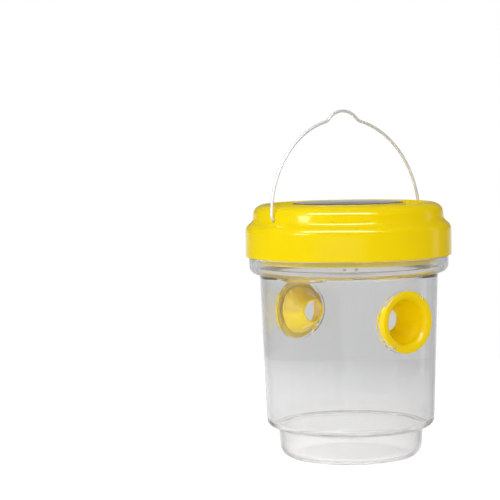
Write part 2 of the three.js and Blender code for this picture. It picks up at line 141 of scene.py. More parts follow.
# the clear plastic
HAZE_LOW, HAZE_HIGH = 10.0, 34.0             # heights between which the foot's haze fades out
WALL_CLEARNESS, FOOT_CLEARNESS = 0.99, 0.87  # shares of the light that pass straight through
COLLAR_HAZE, FLOW_HAZE = 0.04, 0.02          # what the collar and the flow lines take off that
FOOT_ROUGHNESS, COLLAR_ROUGHNESS = 0.12, 0.06

# the camera, the floor and the room, whose levels are steps of (height from 0 to 1, brightness)
CAMERA_AZIMUTH = -38.0
LIGHT_TARGET_Z = 120.0
FLOOR_R = 460.0
# the centre of the lit floor's painted pool of light, where its glow is brightest, in degrees and floor radii
PAINTED_POOL_ANGLE, PAINTED_POOL_OFFSET = 153.0, 0.73          # the floor's brightest place, in degrees and floor radii
ROOM_LEVELS = ((0.0, 0.50), (0.44, 0.59), (0.58, 0.60), (1.0, 0.95))
MIRRORED_LEVELS = ((0.0, 0.60), (0.48, 0.75), (0.54, 0.10), (1.0, 0.50))

# fineness
ROUND = 192          # facets round the jar and the lid
SMALL_ROUND = 48     # facets round small turned pieces
SHARP_ANGLE = 32.0   # degrees between two faces, over which their edge is drawn sharp

# ------------------------------------------------------------ outlines


def arc(centre_x, centre_y, radius_x, radius_y, start, end, steps=10):
    """Points of an elliptical arc between two angles in degrees."""
    points = []
    for i in range(steps + 1):
        angle = math.radians(start + (end - start) * i / steps)
        points.append((centre_x + radius_x * math.cos(angle), centre_y + radius_y * math.sin(angle)))
    return points


def soften(outline, closed=True, steps=4):
    """An outline whose corners given as (x, y, radius) are turned into arcs of that radius."""
    softened = []
    for i, corner in enumerate(outline):
        if len(corner) == 2 or (not closed and i in (0, len(outline) - 1)):
            softened.append(corner[:2])
            continue
        here = Vector(corner[:2])
        back = (Vector(outline[i - 1][:2]) - here).normalized()
        ahead = (Vector(outline[(i + 1) % len(outline)][:2]) - here).normalized()
        half = back.angle(ahead) / 2
        centre = here + (back + ahead).normalized() * corner[2] / math.sin(half)
        reach = corner[2] / math.tan(half)
        first = here + back * reach - centre
        last = here + ahead * reach - centre
        sweep_angle = first.angle_signed(last)
        start = math.atan2(first.y, first.x)
        for step in range(steps + 1):
            angle = start - sweep_angle * step / steps
            softened.append((centre.x + corner[2] * math.cos(angle), centre.y + corner[2] * math.sin(angle)))
    return softened


def rectangle(x0, x1, y0, y1, radius):
    return soften([(x0, y0, radius), (x1, y0, radius), (x1, y1, radius), (x0, y1, radius)])


# ------------------------------------------------------------ mesh tools


def make_object(name, bm):
    bmesh.ops.recalc_face_normals(bm, faces=bm.faces)
    mesh = bpy.data.meshes.new(name)
    bm.to_mesh(mesh)
    bm.free()
    made = bpy.data.objects.new(name, mesh)
    bpy.context.collection.objects.link(made)
    return made


def bridge(bm, rings):
    """Faces between each ring of vertices and the next; a ring of one vertex is a pole."""
    for lower, upper in zip(rings, rings[1:]):
        count = max(len(lower), len(upper))
        for i in range(count):
            j = (i + 1) % count
            corners = (
                lower[i % len(lower)], lower[j % len(lower)],
                upper[j % len(upper)], upper[i % len(upper)],
            )
            distinct = list(dict.fromkeys(corners))
            if len(distinct) > 2:
                bm.faces.new(distinct)


def supported(outline, longest=8.0, shortest=1.2):
    """The outline with extra points on its straight runs, so that smooth shading stays true there."""
    points = [Vector(outline[0])]
    for corner in outline[1:]:
        start, end = points[-1], Vector(corner)
        length = (end - start).length
        if length > shortest:
            margin = min(0.8, length / 6)
            inner = max(1, math.ceil((length - 2 * margin) / longest))
            for i in range(inner + 1):
                along = (margin + (length - 2 * margin) * i / inner) / length
                points.append(start.lerp(end, along))
        points.append(end)
    return points


def lathe(name, outline, segments=ROUND):
    """A solid of revolution about Z. The outline closes itself where it is off the axis."""
    bm = bmesh.new()
    rings = []
    for radius, height in supported(outline):
        count = segments if radius > 0 else 1
        ring = []
        for i in range(count):
            angle = 2 * math.pi * i / segments
            place = (radius * math.cos(angle), radius * math.sin(angle), height)
            ring.append(bm.verts.new(Vector(place) * MM))
        rings.append(ring)
    if outline[0][0] > 0 or outline[-1][0] > 0:
        rings.append(rings[0])
    bridge(bm, rings)
    return make_object(name, bm)


def disc(radius, low, high, segments=SMALL_ROUND, x=0.0, y=0.0):
    made = lathe("disc", [(0, low), (radius, low), (radius, high), (0, high)], segments)
    made.data.transform(Matrix.Translation(Vector((x, y, 0)) * MM))
    return made


def slab(name, outline, low, high, edge=0.0):
    """A flat plate of an outline in X and Y, with its rims rounded by the edge radius."""
    bm = bmesh.new()
    corners = [bm.verts.new(Vector((x, y, low)) * MM) for x, y in outline]
    base = bm.faces.new(corners)
    top = bmesh.ops.extrude_face_region(bm, geom=[base])["geom"]
    raised = [item for item in top if isinstance(item, bmesh.types.BMVert)]
    bmesh.ops.translate(bm, verts=raised, vec=Vector((0, 0, high - low)) * MM)
    if edge:
        rims = [e for e in bm.edges if abs(e.verts[0].co.z - e.verts[1].co.z) < MM * 1e-3]
        bmesh.ops.bevel(bm, geom=rims, offset=edge * MM, segments=3, profile=0.5, affect="EDGES")
    return make_object(name, bm)


def block(x, y, z, edge=0.0):
    return slab("block", [(x[0], y[0]), (x[1], y[0]), (x[1], y[1]), (x[0], y[1])], z[0], z[1], edge)


def sector(inner, outer, middle, half, low, high, edge=0.0):
    """A piece of a flat ring, centred on an angle in degrees."""
    rim = arc(0, 0, outer, outer, middle - half, middle + half, 16)
    rim += arc(0, 0, inner, inner, middle + half, middle - half, 16)
    return slab("sector", rim, low, high, edge)


def wire(name, path, radius, sides=16):
    """A round wire along a path, with domed ends."""
    points = [Vector(place) for place in path]
    tangents = []
    for i in range(len(points)):
        before = points[max(0, i - 1)]
        after = points[min(len(points) - 1, i + 1)]
        tangents.append((after - before).normalized())
    bm = bmesh.new()
    side = tangents[0].orthogonal().normalized()
    rings = []

    def add_ring(centre, across, up, size):
        ring = []
        for k in range(sides):
            angle = 2 * math.pi * k / sides
            spoke = across * math.cos(angle) + up * math.sin(angle)
            ring.append(bm.verts.new((centre + spoke * size) * MM))
        rings.append(ring)

    def add_dome(centre, tangent, across, up, inward):
        steps = 4
        dome = tangent * radius * 0.6
        pole = [bm.verts.new((centre + dome) * MM)]
        if inward:
            rings.append(pole)
            heights = range(steps - 1, 0, -1)
        else:
            heights = range(1, steps)
        for step in heights:
            angle = math.pi / 2 * step / steps
            add_ring(centre + dome * math.sin(angle), across, up, radius * math.cos(angle))
        if not inward:
            rings.append(pole)

    for i, (place, tangent) in enumerate(zip(points, tangents)):
        if i:
            side = (tangents[i - 1].rotation_difference(tangent) @ side).normalized()
        up = tangent.cross(side)
        if i == 0:
            add_dome(place, -tangent, side, up, True)
        add_ring(place, side, up, radius)
        if i == len(points) - 1:
            add_dome(place, tangent, side, up, False)
    bridge(bm, rings)
    return make_object(name, bm)


def combine(base, others, operation):
    """Joins or cuts base with each of the others, which are used up."""
    for other in others:
        modifier = base.modifiers.new("combine", "BOOLEAN")
        modifier.operation = operation
        modifier.solver = "MANIFOLD"
        modifier.object = other
        evaluated = base.evaluated_get(bpy.context.evaluated_depsgraph_get())
        mesh = bpy.data.meshes.new_from_object(evaluated)
        base.modifiers.clear()
        old = base.data
        base.data = mesh
        bpy.data.meshes.remove(old)
        used = other.data
        bpy.data.objects.remove(other)
        bpy.data.meshes.remove(used)
    return base


def join(base, *others):
    return combine(base, others, "UNION")


def cut(base, *others):
    return combine(base, others, "DIFFERENCE")


def moved(made, matrix):
    made.data.transform(matrix)
    return made


def shift(x=0.0, y=0.0, z=0.0):
    return Matrix.Translation(Vector((x, y, z)) * MM)


def turn(degrees, axis):
    return Matrix.Rotation(math.radians(degrees), 4, axis)


# Turns a shape made about +Z so that its axis points along -Y, at the funnels' height.
TOWARDS_FRONT = shift(z=FUNNEL_Z) @ turn(90, "X")


def finish_piece(made, name, body, slot, materials):
    """Names and shades a piece, gives it its slot's material and puts it on its body in its node's place."""
    if body != "jar":
        made.data.transform(turn(LID_TURN, "Z"))
    made.name = name + "_visual"
    made.data.name = made.name
    made.data.shade_smooth()
    made.data.set_sharp_from_angle(angle=math.radians(SHARP_ANGLE))
    made.data.materials.clear()
    made.data.materials.append(materials[slot])
    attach(made, body)
    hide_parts(name)
    return made


# ------------------------------------------------------------ materials


def mapped(nodes, links, factor, low, high, start=0.0, end=1.0):
    """The factor, going from start to end, turned into a value that goes from low to high."""
    node = nodes.new("ShaderNodeMapRange")
    node.inputs["From Min"].default_value = start
    node.inputs["From Max"].default_value = end
    node.inputs["To Min"].default_value = low
    node.inputs["To Max"].default_value = high
    links.new(factor, node.inputs["Value"])
    return node.outputs["Result"]


class Surface:
    """A procedural material round one Principled shader."""

    def __init__(self, name, **values):
        self.material = bpy.data.materials.new(name)
        self.material.use_nodes = True
        self.nodes = self.material.node_tree.nodes
        self.links = self.material.node_tree.links
        self.shader = self.nodes["Principled BSDF"]
        for socket, value in values.items():
            self.shader.inputs[socket.replace("_", " ")].default_value = value
        self.place = self.nodes.new("ShaderNodeTexCoord").outputs["Object"]
        self.height = None

    def stretched(self, x, y, z, offset=(0, 0, 0)):
        mapping = self.nodes.new("ShaderNodeMapping")
        mapping.inputs["Scale"].default_value = (x, y, z)
        mapping.inputs["Location"].default_value = offset
        self.links.new(self.place, mapping.inputs["Vector"])
        return mapping.outputs["Vector"]

    def noise(self, scale, detail=3.0, place=None):
        texture = self.nodes.new("ShaderNodeTexNoise")
        texture.inputs["Scale"].default_value = scale
        texture.inputs["Detail"].default_value = detail
        self.links.new(place or self.place, texture.inputs["Vector"])
        return texture.outputs["Fac"]

    def ramp(self, factor, low, high, start=0.3, end=0.7):
        """A blend of two colours as the factor goes from start to end."""
        node = self.nodes.new("ShaderNodeValToRGB")
        first, last = node.color_ramp.elements
        first.position, first.color = start, (*low, 1)
        last.position, last.color = end, (*high, 1)
        self.links.new(factor, node.inputs["Fac"])
        return node.outputs["Color"]

    def colour(self, output):
        self.links.new(output, self.shader.inputs["Base Color"])

    def level(self, factor, low, high, start=0.0, end=1.0):
        return mapped(self.nodes, self.links, factor, low, high, start, end)

    def by_height(self, low_z, high_z, low, high):
        """A value that goes from low to high between two heights in millimetres."""
        split = self.nodes.new("ShaderNodeSeparateXYZ")
        self.links.new(self.place, split.inputs["Vector"])
        return self.level(split.outputs["Z"], low, high, low_z * MM, high_z * MM)

    def added(self, value, share, rest):
        """A share of one value on top of the rest."""
        node = self.nodes.new("ShaderNodeMath")
        node.operation = "MULTIPLY_ADD"
        self.links.new(value, node.inputs[0])
        node.inputs[1].default_value = share
        self.links.new(rest, node.inputs[2])
        return node.outputs["Value"]

    def roughness(self, factor, low, high):
        self.links.new(self.level(factor, low, high), self.shader.inputs["Roughness"])

    def bump(self, factor, strength, distance):
        """Adds one layer of relief on top of those already there. The distance is in millimetres."""
        node = self.nodes.new("ShaderNodeBump")
        node.inputs["Strength"].default_value = strength
        node.inputs["Distance"].default_value = distance * MM
        self.links.new(factor, node.inputs["Height"])
        if self.height:
            self.links.new(self.height, node.inputs["Normal"])
        self.height = node.outputs["Normal"]
        self.links.new(self.height, self.shader.inputs["Normal"])


def moulded(name, low, high, roughness, specular=0.5):
    """Moulded plastic: a faint drift of colour, uneven gloss and a fine orange-peel skin."""
    surface = Surface(name, Specular_IOR_Level=specular)
    drift = surface.noise(35, 2)
    surface.colour(surface.ramp(drift, low, high))
    surface.roughness(surface.noise(90, 4), *roughness)
    surface.bump(surface.noise(260, 3), 0.25, 0.02)
    surface.bump(surface.noise(2400, 2), 0.10, 0.01)
    return surface.material


def clear_plastic():
    """Clear polystyrene with faint upright flow lines, a little hazy in its thick foot and collar."""
    surface = Surface("clear_plastic", IOR=1.38)
    foot = surface.by_height(HAZE_LOW, HAZE_HIGH, 1, 0)
    collar = surface.by_height(WALL_HIGH_Z - 3, WALL_HIGH_Z + 2, 0, 1)
    flow = surface.noise(1.0, 3, surface.stretched(120, 120, 6))
    drift = surface.added(surface.noise(14, 2), 0.3, foot)
    surface.colour(surface.ramp(drift, (0.928, 0.933, 0.938), (0.865, 0.865, 0.865), 0.1, 1.0))
    clearness = surface.level(foot, WALL_CLEARNESS, FOOT_CLEARNESS)
    clearness = surface.added(collar, -COLLAR_HAZE, clearness)
    clearness = surface.added(surface.level(flow, 0, 1, 0.45, 0.6), -FLOW_HAZE, clearness)
    surface.links.new(clearness, surface.shader.inputs["Transmission Weight"])
    gloss = surface.added(collar, COLLAR_ROUGHNESS, surface.level(surface.noise(60, 3), 0.008, 0.03))
    surface.links.new(surface.added(foot, FOOT_ROUGHNESS, gloss), surface.shader.inputs["Roughness"])
    surface.bump(flow, 0.20, 0.10)
    surface.bump(surface.noise(420, 2), 0.04, 0.01)
    return surface.material


def clear_cover():
    surface = Surface("panel_cover", Transmission_Weight=1.0, IOR=1.5)
    surface.colour(surface.ramp(surface.noise(40, 2), (0.93, 0.95, 0.97), (0.98, 0.99, 1.0)))
    surface.roughness(surface.noise(150, 4), 0.03, 0.09)
    surface.bump(surface.noise(90, 3), 0.15, 0.05)
    return surface.material


def frosted_window():
    surface = Surface("clear_window", Transmission_Weight=0.9, IOR=1.5)
    surface.colour(surface.ramp(surface.noise(120, 2), (0.86, 0.88, 0.90), (0.94, 0.95, 0.97)))
    surface.roughness(surface.noise(300, 3), 0.25, 0.40)
    surface.bump(surface.noise(900, 2), 0.3, 0.03)
    return surface.material


def led_epoxy():
    surface = Surface("led_epoxy", Transmission_Weight=0.85, IOR=1.54)
    surface.colour(surface.ramp(surface.noise(200, 1), (0.60, 0.52, 0.86), (0.72, 0.66, 0.92)))
    surface.roughness(surface.noise(300, 2), 0.05, 0.12)
    return surface.material


def solar_silicon():
    """Dark cells crossed by fine printed silver fingers, with a little crystal grain."""
    surface = Surface("solar_cells", Specular_IOR_Level=0.6)
    grain = surface.nodes.new("ShaderNodeTexVoronoi")
    grain.inputs["Scale"].default_value = 320
    surface.links.new(surface.place, grain.inputs["Vector"])
    cell = surface.ramp(grain.outputs["Distance"], (0.010, 0.014, 0.028), (0.020, 0.030, 0.060), 0.0, 0.8)
    lines = surface.nodes.new("ShaderNodeTexWave")
    lines.bands_direction = "X"
    lines.inputs["Scale"].default_value = 160
    surface.links.new(surface.place, lines.inputs["Vector"])
    fingers = surface.ramp(lines.outputs["Fac"], (0, 0, 0), (1, 1, 1), 0.90, 0.98)
    mix = surface.nodes.new("ShaderNodeMix")
    mix.data_type = "RGBA"
    mix.inputs["B"].default_value = (0.42, 0.44, 0.46, 1)
    surface.links.new(fingers, mix.inputs["Factor"])
    surface.links.new(cell, mix.inputs["A"])
    surface.colour(mix.outputs["Result"])
    surface.roughness(surface.noise(200, 3), 0.22, 0.38)
    surface.bump(lines.outputs["Fac"], 0.1, 0.02)
    return surface.material


def drawn_metal(name, low, high, roughness, along, metallic=1.0):
    """Metal with fine lines drawn out in one direction; less metallic where it has a dull coat."""
    surface = Surface(name, Metallic=metallic)
    lines = surface.noise(1.0, 4, surface.stretched(*along))
    surface.colour(surface.ramp(lines, low, high))
    surface.roughness(surface.noise(180, 3), *roughness)
    surface.bump(lines, 0.12, 0.02)
    return surface.material


# Moulded plastics: the two ends of the colour's drift, the range of roughness and the specular level.
PLASTICS = {
    "yellow_lid": ((0.88, 0.66, 0.0), (0.91, 0.69, 0.0), (0.12, 0.19), 0.2),
    "yellow_funnel": ((0.89, 0.65, 0.0), (0.92, 0.68, 0.0), (0.22, 0.32), 0.2),
    "gasket_rubber": ((0.74, 0.74, 0.71), (0.80, 0.80, 0.77), (0.5, 0.65)),
    "circuit_green": ((0.010, 0.11, 0.035), (0.016, 0.15, 0.05), (0.3, 0.45)),
    "dark_plastic": ((0.030, 0.030, 0.032), (0.045, 0.045, 0.047), (0.4, 0.55)),
    "knob_plastic": ((0.012, 0.012, 0.013), (0.022, 0.022, 0.023), (0.35, 0.5)),
    "battery_sleeve": ((0.05, 0.21, 0.08), (0.07, 0.26, 0.10), (0.25, 0.35)),
    "red_insulation": ((0.42, 0.015, 0.012), (0.50, 0.022, 0.016), (0.4, 0.55)),
    "black_insulation": ((0.012, 0.012, 0.012), (0.02, 0.02, 0.02), (0.4, 0.55)),
}

# Metals: the two ends of the lines' colour, the range of roughness, and the lines' density along X, Y and Z.
METALS = {
    "screw_steel": ((0.50, 0.50, 0.50), (0.66, 0.66, 0.65), (0.25, 0.4), (700, 700, 300)),
    "contact_steel": ((0.58, 0.57, 0.54), (0.72, 0.70, 0.66), (0.2, 0.3), (300, 300, 60)),
    "bail_wire": ((0.76, 0.76, 0.76), (0.86, 0.86, 0.86), (0.38, 0.48), (500, 500, 40), 0.35),
}


def make_materials():
    """All the materials, each under the name of the slot that it fills."""
    materials = {
        "clear_plastic": clear_plastic(),
        "solar_cells": solar_silicon(),
        "panel_cover": clear_cover(),
        "clear_window": frosted_window(),
        "led_epoxy": led_epoxy(),
    }
    for name, values in PLASTICS.items():
        materials[name] = moulded(name, *values)
    for name, values in METALS.items():
        materials[name] = drawn_metal(name, *values)
    return materials


# ------------------------------------------------------------ jar and funnels


def jar_outline():
    """The jar's section: a shallow push-up under the foot, the step, the wall, the collar and the neck."""
    inner_neck = NECK_R - WALL
    outside = [
        (0, 0.5), (30.0, 0.5), (31.5, 0.0),
        *arc(FOOT_FLAT_R, 8, FOOT_R - FOOT_FLAT_R, 8, -90, 0, 28),
        (FOOT_TOP_R, FOOT_H - 0.9), (FOOT_TOP_R + 0.6, FOOT_H - 0.1, 0.4),
        *arc(46.6, 23.5, 4.5, 4.9, -90, 0, 28),
        (WALL_LOW_R, WALL_LOW_Z), (WALL_HIGH_R, WALL_HIGH_Z), (54.6, 111.6),
        *arc(56.2, 117.2, COLLAR_R - 56.2, 4.9, -90, 0, 28),
        (COLLAR_R, COLLAR_TOP_Z, 0.7), (NECK_R, COLLAR_TOP_Z, 0.4),
        (NECK_R, RIM_Z, 0.7), (inner_neck, RIM_Z, 0.5),
    ]
    inside = [
        (inner_neck, 115.0, 4.0), (WALL_HIGH_R - WALL, WALL_HIGH_Z, 2.0), (WALL_LOW_R - WALL, WALL_LOW_Z),
        *arc(45.2, 23.9, 4.4, 3.8, 0, -72, 28),
        (FOOT_TOP_R - WALL, FOOT_H + 0.9, 3.0),
        *arc(FOOT_FLAT_R - 0.8, 7.8, FOOT_R - WALL - FOOT_FLAT_R + 0.8, 7.8 - WALL, 0, -90, 28),
        (0, WALL + 0.3),
    ]
    return soften(outside + inside, closed=False, steps=12)


def funnel_pad():
    """The raised clear ring on the wall round a funnel."""
    plug = moved(disc(PAD_R, 45, 60, 96), TOWARDS_FRONT)
    inner, outer = WALL_HIGH_R - WALL + 0.1, PAD_D
    low, high = FUNNEL_Z - 25, FUNNEL_Z + 25
    shell = lathe("shell", [(inner, low), (outer, low), (outer, high), (inner, high)], ROUND)
    return combine(plug, [shell], "INTERSECT")


def index_lug(offset):
    rib = block((COLLAR_R - 1.5, COLLAR_R + 1.0), (-0.9, 0.9), (116.6, COLLAR_TOP_Z - 0.4), 0.35)
    return moved(rib, turn(INDEX_ANGLE, "Z") @ shift(y=offset))


def neck_lugs():
    lugs = []
    for i in range(LUG_COUNT):
        middle = 45 + 360 * i / LUG_COUNT
        lugs.append(sector(NECK_R - 0.6, NECK_LUG_R, middle, NECK_LUG_HALF, NECK_LUG_Z, NECK_LUG_TOP, 0.4))
        stop = middle - NECK_LUG_HALF + 1.5
        lugs.append(sector(NECK_R - 0.6, NECK_LUG_R - 0.05, stop, 1.4, LID_LUG_Z, NECK_LUG_TOP - 0.5, 0.3))
    return lugs


def jar(materials):
    made = lathe("jar", jar_outline(), ROUND)
    front = funnel_pad()
    back = moved(funnel_pad(), turn(180, "Z"))
    join(made, front, back, index_lug(-3.4), index_lug(3.4), *neck_lugs())
    bore = moved(disc(SPIGOT_R + GAP, -60, 60, 96), TOWARDS_FRONT)
    cut(made, bore)
    finish_piece(made, "jar", "jar", "clear_plastic", materials)
    made.visible_shadow = False


def funnel_outline():
    tip, face = FUNNEL_TIP_D, FUNNEL_FACE_D
    return soften([
        (FUNNEL_HOLE_R, tip, 0.25), (FUNNEL_HOLE_R + 1.2, tip, 0.5),
        (13.6, 49.0), (SPIGOT_R, 50.4, 0.4), (SPIGOT_R, PAD_D + GAP, 0.3),
        (FLANGE_R, PAD_D + GAP, 0.25), (FLANGE_R, face, 0.7),
        (16.4, face),
        *arc(16.4, face - 4.4, 3.6, 4.4, 90, 180, 12)[1:],
        (FUNNEL_HOLE_R + 0.3, tip + 2.2),
    ])


def funnel_wings():
    """The two curved side skirts that reach from the flange down to the round wall."""
    low, high = 46, PAD_D + 0.8
    outline = [(WING_INNER_R, low), (WING_OUTER_R, low), (WING_OUTER_R, high), (WING_INNER_R, high)]
    skirt = moved(lathe("skirt", outline, 96), TOWARDS_FRONT)
    band = block((-20, 20), (-60, -40), (FUNNEL_Z - WING_HALF_H, FUNNEL_Z + WING_HALF_H), 0.6)
    wings = combine(skirt, [band], "INTERSECT")
    return cut(wings, disc(PAD_D + GAP, 60, 110, ROUND))


def funnel(name, angle, materials):
    made = moved(lathe("funnel", funnel_outline(), 128), TOWARDS_FRONT)
    join(made, funnel_wings())
    for spoke in (SLOT_ANGLE, SLOT_ANGLE + 180):
        hook = block((12.8, 16.0), (-1.6, 1.6), (47.5, 49.6), 0.3)
        join(made, moved(hook, TOWARDS_FRONT @ turn(spoke, "Z")))
        slot = block((16.6, 18.0), (-1.3, 1.3), (52, 58))
        cut(made, moved(slot, TOWARDS_FRONT @ turn(spoke, "Z")))
    moved(made, turn(angle, "Z"))
    finish_piece(made, name, "jar", "yellow_funnel", materials)


# ------------------------------------------------------------ lid


def lid_outline():
    """The two-tier shell with its dished top, the boss round the solar panel and the gasket ledge."""
    return soften([
        (LID_INNER_R, LID_BOTTOM_Z, 0.3), (LID_R, LID_BOTTOM_Z, 0.6),
        *arc(LID_R - 5.3, 138, 5.3, 5.3, 0, 50, 14),
        *arc(62.1, 146.3, 4.2, 4.2, 230, 181, 12),
        *arc(50.1, 148.2, 7.6, 6.2, 2, 90, 24),
        *arc(50.1, 152.9, 1.5, 1.5, 120, 170, 6),
        (47.6, 152.5), (BOSS_R, 152.2, 0.6), (BOSS_R, BOSS_TOP_Z, 0.4), (RECESS_R, BOSS_TOP_Z, 0.2),
        (RECESS_R, RECESS_Z, 0.2), (0, RECESS_Z), (0, PLATE_Z),
        (PLUG_R - PLUG_WALL, PLATE_Z, 0.6), (PLUG_R - PLUG_WALL, PLUG_BOTTOM_Z, 0.5),
        (PLUG_R, PLUG_BOTTOM_Z, 0.5), (PLUG_R, 149.6), (54.9, 148.8), (55.4, 147.2),
        (TIER_INNER_R, LEDGE_Z, 0.3), (59.5, LEDGE_Z), (LID_INNER_R, LEDGE_Z - 1.2),
    ])


def post_places():
    places = []
    for angle in POST_ANGLES:
        turned = math.radians(angle)
        places.append((POST_CIRCLE_R * math.cos(turned), POST_CIRCLE_R * math.sin(turned)))
    return places


STANDOFFS = ((-STANDOFF_X, STANDOFF_Y), (STANDOFF_X, STANDOFF_Y))


def lid_shell(materials):
    made = lathe("lid", lid_outline(), ROUND)
    for i in range(LUG_COUNT):
        middle = 360 * i / LUG_COUNT
        join(made, sector(LID_LUG_R, LID_INNER_R + 0.6, middle, LID_LUG_HALF, LID_LUG_Z, LID_LUG_TOP, 0.4))
    for x, y in post_places():
        join(made, disc(POST_R, FLOOR_TOP_Z + GAP, PLATE_Z + 0.5, x=x, y=y))
        cut(made, disc(POST_BORE_R, FLOOR_TOP_Z - 1, 143, x=x, y=y))
    for x, y in STANDOFFS:
        join(made, disc(STANDOFF_R, BOARD_TOP_Z + GAP, PLATE_Z + 0.5, x=x, y=y))
        cut(made, disc(STANDOFF_BORE_R, BOARD_TOP_Z - 1, 150, x=x, y=y))
    pins = moved(disc(PIN_HOLE_R, -62, 62), shift(z=PIVOT_Z) @ turn(90, "Y"))
    cut(made, pins, disc(LEAD_HOLE_R, PLATE_Z - 1, RECESS_Z + 1, y=LEAD_HOLE_Y))
    finish_piece(made, "lid_shell", "lid", "yellow_lid", materials)


def gasket(materials):
    outer, low, high = LID_LUG_R - GAP, RIM_Z + GAP, LEDGE_Z - GAP
    made = lathe("gasket", soften([(55, low, 0.3), (outer, low, 0.3), (outer, high, 0.3), (55, high, 0.3)]))
    finish_piece(made, "lid_gasket", "seal", "gasket_rubber", materials)


def solar_cells(materials):
    """The dark board with six cell strips on it, each cut to the round."""
    low, face, top = RECESS_Z + GAP, 153.4, 153.7
    made = disc(PANEL_R, low, face, 96)
    strips = 6
    reach = PANEL_R - 1.8
    pitch = 2 * reach / strips
    for i in range(strips):
        left = -reach + pitch * i + 0.4
        right = left + pitch - 0.8
        strip = block((left, right), (-reach, reach), (face - 0.1, top))
        join(made, combine(strip, [disc(reach, face - 1, top + 1, 96)], "INTERSECT"))
    finish_piece(made, "solar_cell_board", "lid", "solar_cells", materials)


def panel_cover(materials):
    """The clear cast cover, with a small chamfer round its rim."""
    low, rim, top = 154.0, 154.6, 155.0
    outline = [
        (0, low), (PANEL_R, low), (PANEL_R, rim),
        *arc(PANEL_R - 0.6, 154.5, 0.6, 0.3, 10, 80, 6), (0, top),
    ]
    finish_piece(lathe("cover", outline, 128), "solar_panel_cover", "lid", "panel_cover", materials)


# ------------------------------------------------------------ light housing


def light_housing(materials):
    inner = HOUSING_R - HOUSING_WALL
    top = PLATE_Z - GAP
    made = lathe("cup", soften([
        (0, FLOOR_Z), (HOUSING_R, FLOOR_Z, 1.6), (HOUSING_R, top, 0.4),
        (inner, top, 0.4), (inner, FLOOR_TOP_Z, 0.8), (0, FLOOR_TOP_Z),
    ], closed=False))
    near, far = BAY_WALL_X
    wall_y, wall_z = (13, 27), (FLOOR_TOP_Z - 0.5, 142)
    through = (FLOOR_Z - 1, FLOOR_TOP_Z + 1)
    join(
        made,
        block((near, far), wall_y, wall_z),
        block((-far, -near), wall_y, wall_z),
        disc(2.4, FLOOR_TOP_Z - 0.5, 138, x=DOOR_SCREW_X, y=CELL_Y),
    )
    cut(
        made,
        disc(WINDOW_R + GAP, *through, 96, y=LED_Y),
        block((-BAY_HALF_X, BAY_HALF_X), BAY_Y, through),
        block((-far - 1, 1 - BAY_HALF_X), (15.7, 24.3), (FLOOR_TOP_Z, 134.2)),
        block((SWITCH_X - 4.3, SWITCH_X + 4.3), (SWITCH_Y - 1.6, SWITCH_Y + 1.6), through),
        disc(DOOR_BORE_R, FLOOR_Z - 1, 137, x=DOOR_SCREW_X, y=CELL_Y),
    )
    for x, y in post_places():
        cut(made, disc(POST_BORE_R + 0.1, *through, x=x, y=y))
    finish_piece(made, "light_housing", "lid", "yellow_lid", materials)


def battery_door(materials):
    """The door under the cell: a hook at one end, a screw at the other and five finger grooves."""
    low, high = DOOR_BOTTOM_Z, FLOOR_Z - GAP
    made = slab("door", rectangle(*DOOR_X, *DOOR_Y, 1.5), low, high, 0.35)
    hook_end, hook_y, hook_top = -24.6, (16, 24), 133.9
    join(
        made,
        block((-26.2, hook_end), hook_y, (low + 1, hook_top)),
        block((DOOR_X[0], hook_end), hook_y, (FLOOR_TOP_Z + GAP, hook_top)),
    )
    rim = HOUSING_R - 1.6
    corner = lathe("corner", [(rim, 128), (rim + 8, 128), (rim + 8, 132), (rim, 132)])
    cut(made, corner, disc(DOOR_BORE_R, 128, 132, x=DOOR_SCREW_X, y=CELL_Y))
    for i in range(5):
        groove = block((-22 + 2.2 * i, -21 + 2.2 * i), (15, 25), (low - 1, low + 0.35))
        cut(made, groove)
    finish_piece(made, "battery_door", "lid", "yellow_lid", materials)


def screw(name, x, y, head_top, sizes, materials):
    """A pan-head screw that points up, with a cross recess in its head."""
    head_r, shank_r, length = sizes
    made = lathe("screw", [
        (0, head_top - 1.4), (head_r * 0.5, head_top - 1.38),
        *arc(head_r * 0.5, head_top - 0.5, head_r * 0.5, 0.88, -80, 0, 8),
        (head_r, head_top), (shank_r, head_top),
        (shank_r, head_top + length - shank_r), (0, head_top + length),
    ], 32)
    arm, half = head_r * 0.62, head_r * 0.11
    cut(
        made,
        block((-arm, arm), (-half, half), (head_top - 2, head_top - 0.6)),
        block((-half, half), (-arm, arm), (head_top - 2, head_top - 0.6)),
    )
    moved(made, shift(x, y))
    finish_piece(made, name, "lid", "screw_steel", materials)


def screws(materials):
    for i, (x, y) in enumerate(post_places()):
        screw(f"housing_screw_{i + 1}", x, y, FLOOR_Z - GAP, HOUSING_SCREW, materials)
    for i, (x, y) in enumerate(STANDOFFS):
        screw(f"board_screw_{i + 1}", x, y, BOARD_Z - GAP, BOARD_SCREW, materials)
    screw("battery_door_screw", DOOR_SCREW_X, CELL_Y, DOOR_BOTTOM_Z - GAP, DOOR_SCREW, materials)


# ------------------------------------------------------------ electrics


def circuit_board(materials):
    made = slab("board", rectangle(-BOARD_HALF_X, BOARD_HALF_X, *BOARD_Y, 1.0), BOARD_Z, BOARD_TOP_Z, 0.1)
    for x, y in STANDOFFS:
        cut(made, disc(STANDOFF_BORE_R, BOARD_Z - 1, BOARD_TOP_Z + 1, x=x, y=y))
    finish_piece(made, "circuit_board", "lid", "circuit_green", materials)


def led(name, x, materials):
    base = BOARD_Z - GAP
    outline = [*arc(0, 137.4, 2.5, 2.5, -90, 0, 10), (2.5, 142.7), (2.9, 142.8), (2.9, base), (0, base)]
    made = moved(lathe("led", outline, 40), shift(x, LED_Y))
    finish_piece(made, name, "lid", "led_epoxy", materials)


